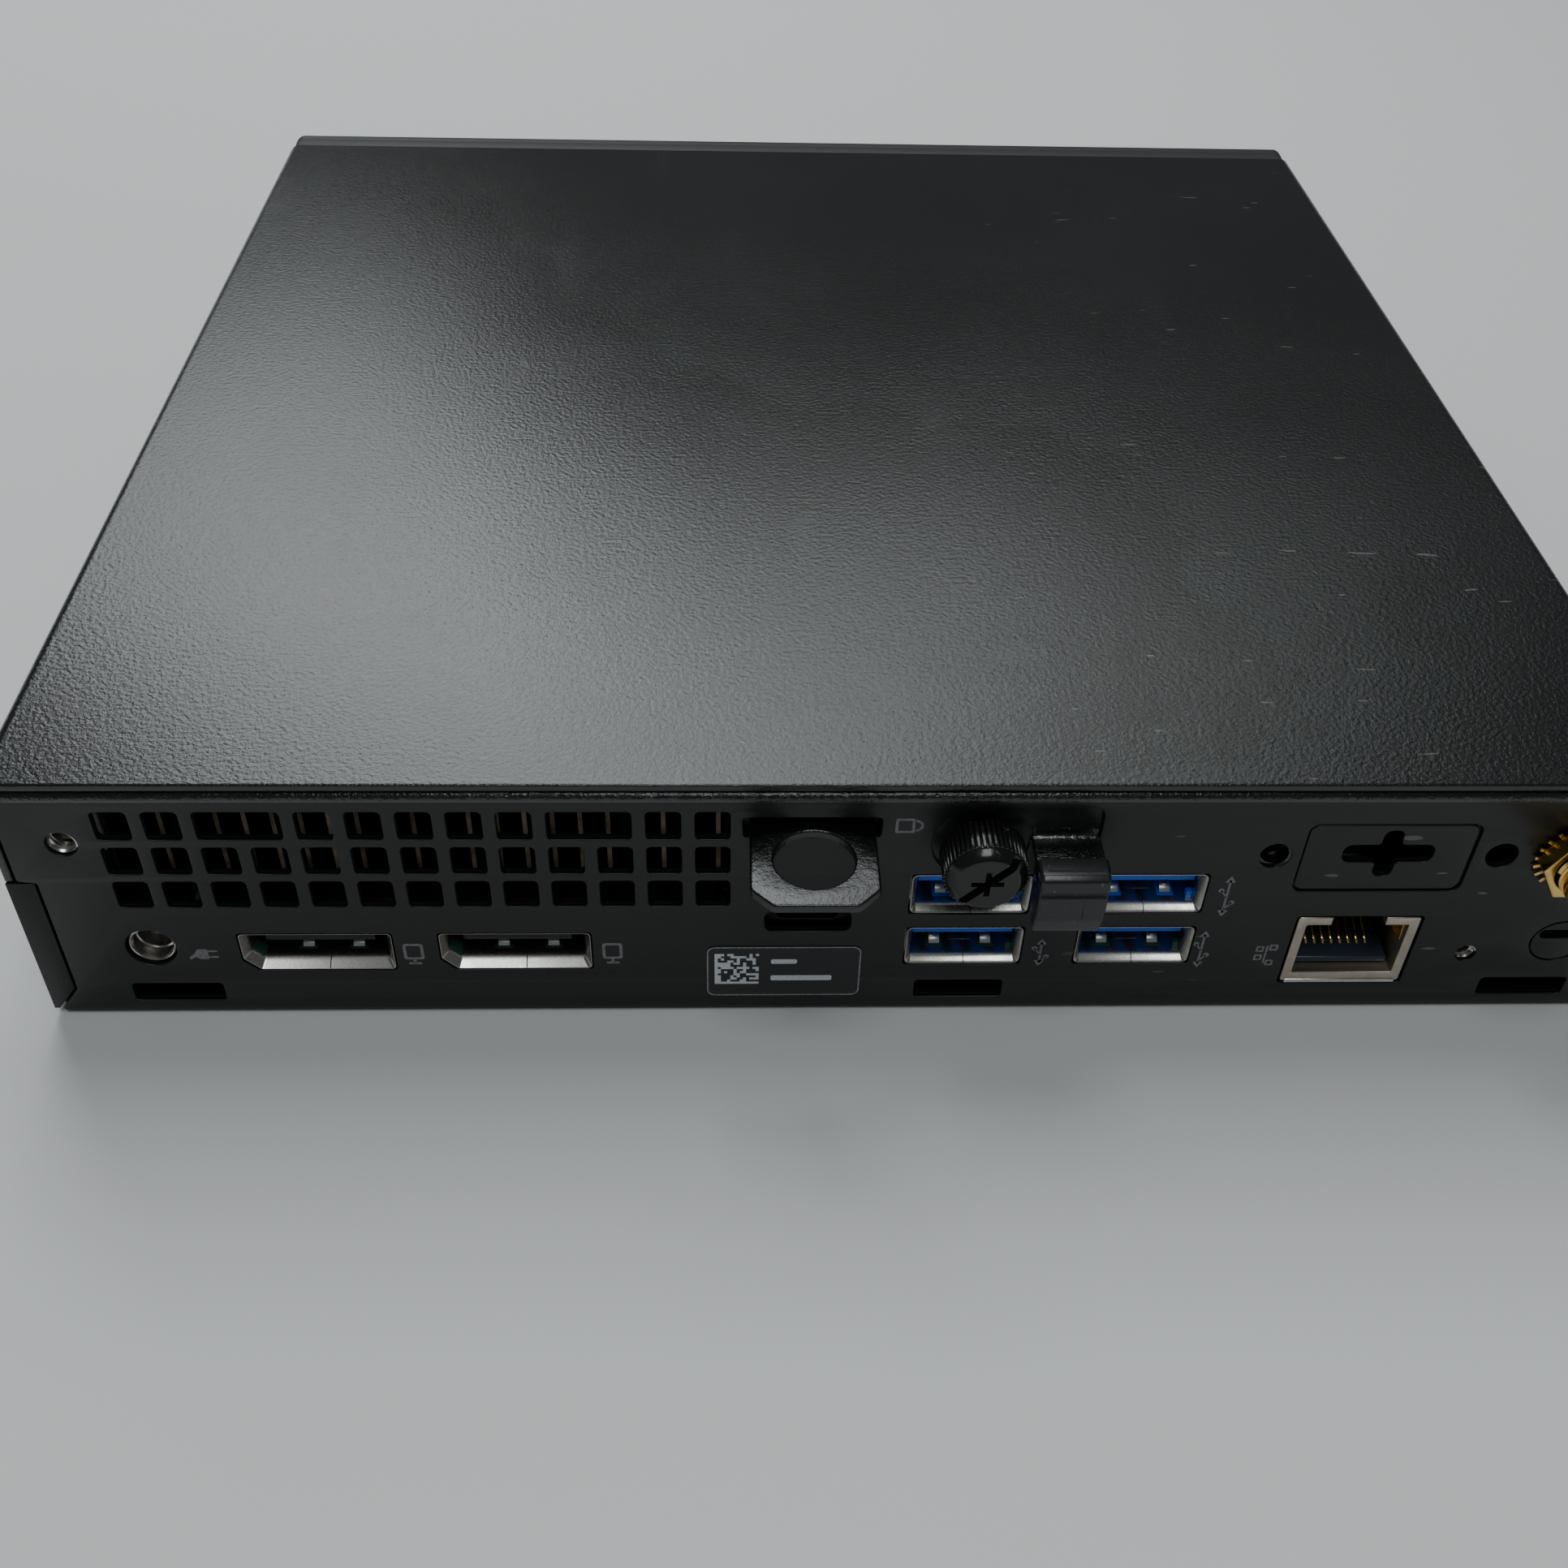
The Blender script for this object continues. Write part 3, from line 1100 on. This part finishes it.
def blower(x, y, low, high):
    """The blower: a housing with an inlet on top and an outlet towards the fins, and its bladed rotor."""
    half_x = BLOWER_SIZE[0] / 2
    half_y = BLOWER_SIZE[1] / 2
    outline = rounded_box_outline((x, y), BLOWER_SIZE, 8 * MM, 5)
    housing = prism("blower_housing", [outline], "Z", low, high, black_plastic())
    chamber_radius = ROTOR_RADIUS + 3.5 * MM
    chamber = cylinder("blower_chamber", chamber_radius, high - low - 2 * BLOWER_WALL,
                       (x, y, (low + high) / 2), "Z", sides=40)
    outlet = box("blower_outlet", (x - half_x + 9 * MM, y, low + BLOWER_WALL),
                 (x + half_x - 9 * MM, y + half_y + MM, high - BLOWER_WALL))
    inlet = cylinder("blower_inlet", ROTOR_RADIUS - 6 * MM, 6 * MM, (x, y, high), "Z", sides=40)
    cut(housing, join(chamber, outlet), inlet)
    spindle_low = low + BLOWER_WALL / 2
    spindle_high = high - BLOWER_WALL - 2.5 * MM
    join(housing, cylinder("blower_spindle", SPINDLE_RADIUS, spindle_high - spindle_low,
                           (x, y, (spindle_low + spindle_high) / 2), "Z", sides=24))
    rotor_low = low + BLOWER_WALL + 0.8 * MM
    rotor_high = high - BLOWER_WALL - 0.8 * MM
    inner = 13 * MM
    swept = []
    for index in range(ROTOR_BLADES):
        start = 360 * index / ROTOR_BLADES
        width = 360 / ROTOR_BLADES * 0.22
        swept += arc((x, y), ROTOR_RADIUS, start, start + width, 1)
        swept += arc((x, y), inner, start + width + 9, start + 360 / ROTOR_BLADES + 9, 2)
    rotor = prism("blower_rotor", [swept], "Z", rotor_low, rotor_high, black_plastic())
    bearing = cylinder("rotor_bearing", SPINDLE_RADIUS + SPINDLE_CLEARANCE, rotor_high - rotor_low + MM,
                       (x, y, (rotor_low + rotor_high) / 2 - 2 * MM), "Z", sides=24)
    return cut(rotor, bearing)


def memory():
    """A two-slot memory socket and its two modules."""
    x_low = right(MEMORY_RIGHT)
    x_high = x_low + MEMORY_WIDTH
    y = inside(MEMORY_INSIDE)
    socket = box("memory_socket", (x_low, y, ON_BOARD), (x_high, y + 6.5 * MM, ON_BOARD + 8 * MM),
                 black_plastic())
    cheek = 1.2 * MM
    card_side = cheek + 0.5 * MM
    slots = []
    for level, height in MEMORY_LEVELS:
        low = ON_BOARD + height
        high = low + CARD_SHEET
        box(f"memory_module_{level}", (x_low + card_side, y - 26 * MM, low),
            (x_high - card_side, y + 3 * MM, high), circuit_board())
        slots.append(box(f"memory_slot_{level}", (x_low + cheek, y - MM, low - GAP),
                         (x_high - cheek, y + 3.4 * MM, high + GAP)))
    return cut(socket, *slots)


def drive():
    """The drive in its caddy, and the riser on the board that it plugs into."""
    wide, long, thick = DRIVE_SIZE
    x_low = right(DRIVE_RIGHT)
    x_high = x_low + wide
    y_high = inside(DRIVE_REAR)
    y_low = y_high - long
    low = BOTTOM + DRIVE_LEVEL
    box("disk_drive", (x_low, y_low, low), (x_high, y_high, low + thick), aluminium())
    bed_low = x_low - GAP
    bed_high = x_high + GAP
    bed = low - GAP
    outer_low = bed_low - CADDY_WALL
    outer_high = bed_high + CADDY_WALL
    floor = bed - CADDY_WALL
    rail = low + thick
    caddy_y = y_low - CADDY_FRONT
    outline = [
        (outer_low, floor), (outer_high, floor), (outer_high, rail), (bed_high, rail), (bed_high, bed),
        (bed_low, bed), (bed_low, rail), (outer_low, rail),
    ]
    caddy = prism("drive_caddy", [outline], "Y", caddy_y, y_high, black_plastic())
    stop = box("caddy_front", (outer_low + EASE, caddy_y, floor + EASE),
               (outer_high - EASE, y_low - GAP, rail - EASE))
    window = box("caddy_window", (x_low + CADDY_FRAME, y_low + CADDY_FRAME, floor - MM),
                 (x_high - CADDY_FRAME, y_high - CADDY_FRAME, low))
    cut(join(caddy, stop), window)
    riser_x = (x_low + x_high) / 2
    return box("drive_riser", (riser_x - RISER_HALF, y_high + GAP, ON_BOARD),
               (riser_x + RISER_HALF, y_high + 5 * MM, rail - MM), black_plastic())


def cards():
    """The solid-state drive, the wireless card, the coin cell with its holder, and the speaker."""
    y = FRONT + BOARD_FRONT + 22 * MM
    card_low = ON_BOARD + 2.2 * MM
    card_high = card_low + BOARD_SHEET
    box("solid_state_drive", (left(44 * MM), y, card_low), (left(22 * MM), y + 42 * MM, card_high),
        circuit_board())
    x = right(48 * MM)
    box("wireless_card", (x - 11 * MM, y, card_low), (x + 11 * MM, y + 30 * MM, card_high), circuit_board())
    cell = (left(64 * MM), y + 18 * MM)
    holder_height = 1.6 * MM
    coin_low = ON_BOARD + holder_height + GAP
    cylinder("coin_cell_holder", COIN_RADIUS + MM, holder_height, (*cell, ON_BOARD + holder_height / 2),
             "Z", black_plastic())
    cylinder("coin_cell", COIN_RADIUS, COIN_HEIGHT, (*cell, coin_low + COIN_HEIGHT / 2), "Z", bare_steel())
    wide, long = SPEAKER_SIZE
    low = (right(BOARD_MARGIN), FRONT + BOARD_FRONT, FLOOR + GAP)
    return box("speaker", low, (low[0] + wide, low[1] + long, FLOOR + 11 * MM), black_plastic())


def antenna_lead():
    """The thin coaxial lead from the wireless card to the aerial socket."""
    card_z = ON_BOARD + 3.8 * MM + GAP + LEAD_RADIUS
    card_y = FRONT + BOARD_FRONT + 48 * MM
    side_x = right(7.5 * MM)
    knots = [
        (right(40 * MM), card_y, card_z), (right(25 * MM), card_y + 4 * MM, card_z + MM),
        (right(11 * MM), card_y + 14 * MM, card_z + MM), (side_x, card_y + 30 * MM, card_z),
        (side_x, inside(40 * MM), card_z), (right(8.5 * MM), inside(20 * MM), card_z + 5 * MM),
        (right(ANTENNA_RIGHT), inside(9 * MM), above(ANTENNA_HEIGHT) - MM),
        (right(ANTENNA_RIGHT), inside(ANTENNA_INSIDE + GAP), above(ANTENNA_HEIGHT)),
    ]
    return tube("antenna_lead", smooth_route(knots, 6), LEAD_RADIUS, black_plastic())


def front_connectors():
    """The connectors on the board's front edge: a data port, a small data port and a headset socket."""
    z = above(FRONT_PORT_HEIGHT)
    face = FRONT + FRONT_PORT_FACE
    depth = 15 * MM
    x = left(USB_A_LEFT)
    outer = rounded_box_outline((x, z), USB_SHELL, SHELL_RADIUS, 2)
    inner = rounded_box_outline((x, z), widened(USB_SHELL, -SHELL_WALL), HOLLOW_RADIUS, 2)
    shell = prism("front_usb_a", [outer], "Y", face, face + depth, bare_steel())
    hollow = prism("front_usb_a_hollow", [inner], "Y", face - SHEET, face + depth - SHEET)
    cut(shell, hollow)
    usb_insert("front_usb_a_insert", x, z, face + 2 * GAP, 1, depth - 2 * SHEET)
    x = left(USB_C_LEFT)
    radius = USB_C_SHELL[1] / 2 - FACE_INSET
    outer = rounded_box_outline((x, z), USB_C_SHELL, radius, 5)
    small = prism("front_usb_c", [outer], "Y", face, face + 10 * MM, bare_steel())
    tongue = rounded_box_outline((x, z), USB_C_TONGUE, 2 * EASE, 1)
    ring = [rounded_box_outline((x, z), widened(USB_C_SHELL, -SHELL_WALL), radius - SHELL_WALL, 5), tongue]
    cut(small, prism("front_usb_c_hollow", ring, "Y", face - SHEET, face + 8 * MM))
    x = left(AUDIO_LEFT)
    length = 13 * MM
    barrel = cylinder("audio_socket", AUDIO_RADIUS + AUDIO_WALL, length, (x, face + length / 2, z), "Y",
                      black_plastic(), 28)
    return cut(barrel,
               cylinder("audio_bore", AUDIO_RADIUS, 12 * MM, (x, face + 4.5 * MM, z), "Y", sides=24))


def build():
    global PARTS, CUTTERS
    for old in list(bpy.data.objects):
        bpy.data.objects.remove(old, do_unlink=True)
    PARTS = collection("mini_pc")
    CUTTERS = collection("cutters")
    base_pan()
    rear_panel()
    top_cover()
    cover_lock_bracket()
    front_bezel()
    power_button()
    power_switch()
    activity_light_pipe()
    cable_hook()
    thumbscrew_washer()
    thumbscrew()
    feet()
    id_label()
    for side, x in zip(("left", "right"), USB_OFFSETS):
        usb_stack(side, x)
    for side, distance in zip(("left", "right"), DISPLAY_LEFT):
        display_connector(side, distance)
    network_connector()
    power_inlet()
    antenna_connector()
    system_board()
    board_screws()
    cooling()
    memory()
    drive()
    cards()
    antenna_lead()
    front_connectors()
    CUTTERS.hide_render = True
    print(f"mini pc: {len(PARTS.objects)} parts, {len(CUTTERS.objects)} cutters")


build()
